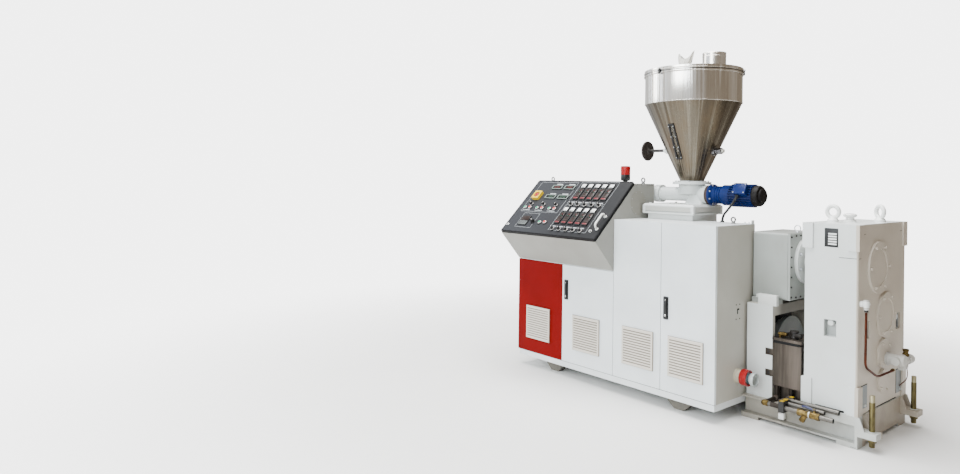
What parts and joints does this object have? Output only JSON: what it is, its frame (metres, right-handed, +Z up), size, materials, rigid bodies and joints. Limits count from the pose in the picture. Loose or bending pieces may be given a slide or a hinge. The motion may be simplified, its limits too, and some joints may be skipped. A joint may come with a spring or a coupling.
{
  "type": "plastic extruder",
  "caption": "Conical twin-screw extruder with electric cabinets, sloping control desk, feed hopper, gearboxes, oil tank and bed.",
  "frame": {"origin": "middle of the footprint, on the floor", "axes": "+X along the machine towards the tall gearbox, -Y towards the operator, +Z up"},
  "size_m": [2.695, 1.209, 2.409],
  "materials": {
    "barrel_steel": "satin",
    "beige_plastic": "matte",
    "black_plastic": "matte",
    "blue_enamel": "satin",
    "brass": "satin",
    "cable_rubber": "matte",
    "cloth": "matte",
    "copper": "satin",
    "cowl_enamel": "satin",
    "dark_steel": "satin",
    "display_plastic": "gloss",
    "galvanised_steel": "satin",
    "gasket_rubber": "matte",
    "glass": "clear",
    "light_enamel": "satin",
    "machine_enamel": "satin",
    "panel_grey": "matte",
    "red_enamel": "satin",
    "red_plastic": "gloss",
    "stainless": "brushed",
    "white_plastic": "matte",
    "yellow_plastic": "gloss"
  },
  "bodies": {
    "machine": {"barrel": "barrel_steel", "barrel_column": "machine_enamel", "barrel_cover": "stainless", "beacon": "red_plastic", "bed": "machine_enamel", "cabinet_feet": "dark_steel", "cabinet_plinth": "light_enamel", "cabinet_sides": "light_enamel", "cabinet_tops": "light_enamel", "coupling_flange": "machine_enamel", "desk_apron": "light_enamel", "desk_cheeks": "light_enamel", "distribution_gearbox": "machine_enamel", "feed_pedestal": "machine_enamel", "feeder_gasket": "gasket_rubber", "feeder_housing": "light_enamel", "feeder_motor": "blue_enamel", "gear_reducer": "blue_enamel", "gearbox_cover_discs": "machine_enamel", "gearbox_top_fittings": "machine_enamel", "hopper_bag": "cloth", "hopper_inlet": "stainless", "hopper_lid": "stainless", "hopper_plunger": "stainless", "hopper_shell": "stainless", "jacking_screws": "brass", "level_sensor": "stainless", "lifting_eyes": "galvanised_steel", "main_motor": "blue_enamel", "motor_cable": "cable_rubber", "motor_fan_cowl": "cowl_enamel", "mounting_plates": "galvanised_steel", "oil_pipe": "copper", "oil_pump": "machine_enamel", "oil_tank": "stainless", "pedestal_frame": "machine_enamel", "portal_frame": "machine_enamel", "power_inlet": "red_plastic", "rear_panels": "light_enamel", "reduction_gearbox": "machine_enamel", "sight_glass": "glass", "water_pipes": "galvanised_steel", "water_valve": "brass"},
    "red_door": {"red_door": "red_enamel", "red_door_filter": "beige_plastic"},
    "low_white_door": {"low_white_door": "light_enamel", "low_white_door_filter": "beige_plastic", "low_door_handle": "black_plastic"},
    "tall_left_door": {"tall_left_door": "light_enamel", "tall_left_door_filter": "beige_plastic"},
    "tall_right_door": {"tall_right_door": "light_enamel", "tall_right_door_filter": "beige_plastic", "tall_door_handle": "black_plastic"},
    "desk_lid": {"desk_lid": "panel_grey", "temperature_controllers": "black_plastic", "panel_displays": "display_plastic", "panel_buttons": "black_plastic", "speed_controller": "black_plastic", "emergency_stop": "yellow_plastic", "lid_handle": "white_plastic"}
  },
  "joints": [
    {"name": "red_door_hinge", "type": "hinge", "parent": "machine", "child": "red_door", "pos_m": [-1.188, -0.3995, 0.48], "axis": [0, 0, -1], "range_deg": [0, 120]},
    {"name": "low_white_door_hinge", "type": "hinge", "parent": "machine", "child": "low_white_door", "pos_m": [-0.2265, -0.3995, 0.48], "axis": [0, 0, 1], "range_deg": [0, 80]},
    {"name": "tall_left_door_hinge", "type": "hinge", "parent": "machine", "child": "tall_left_door", "pos_m": [-0.2235, -0.3995, 0.66], "axis": [0, 0, -1], "range_deg": [0, 80]},
    {"name": "tall_right_door_hinge", "type": "hinge", "parent": "machine", "child": "tall_right_door", "pos_m": [0.557, -0.3995, 0.66], "axis": [0, 0, 1], "range_deg": [0, 120]},
    {"name": "desk_lid_hinge", "type": "hinge", "parent": "machine", "child": "desk_lid", "pos_m": [-0.7065, -0.17274, 1.44848], "axis": [-1, 0, 0], "range_deg": [0, 55]}
  ]
}
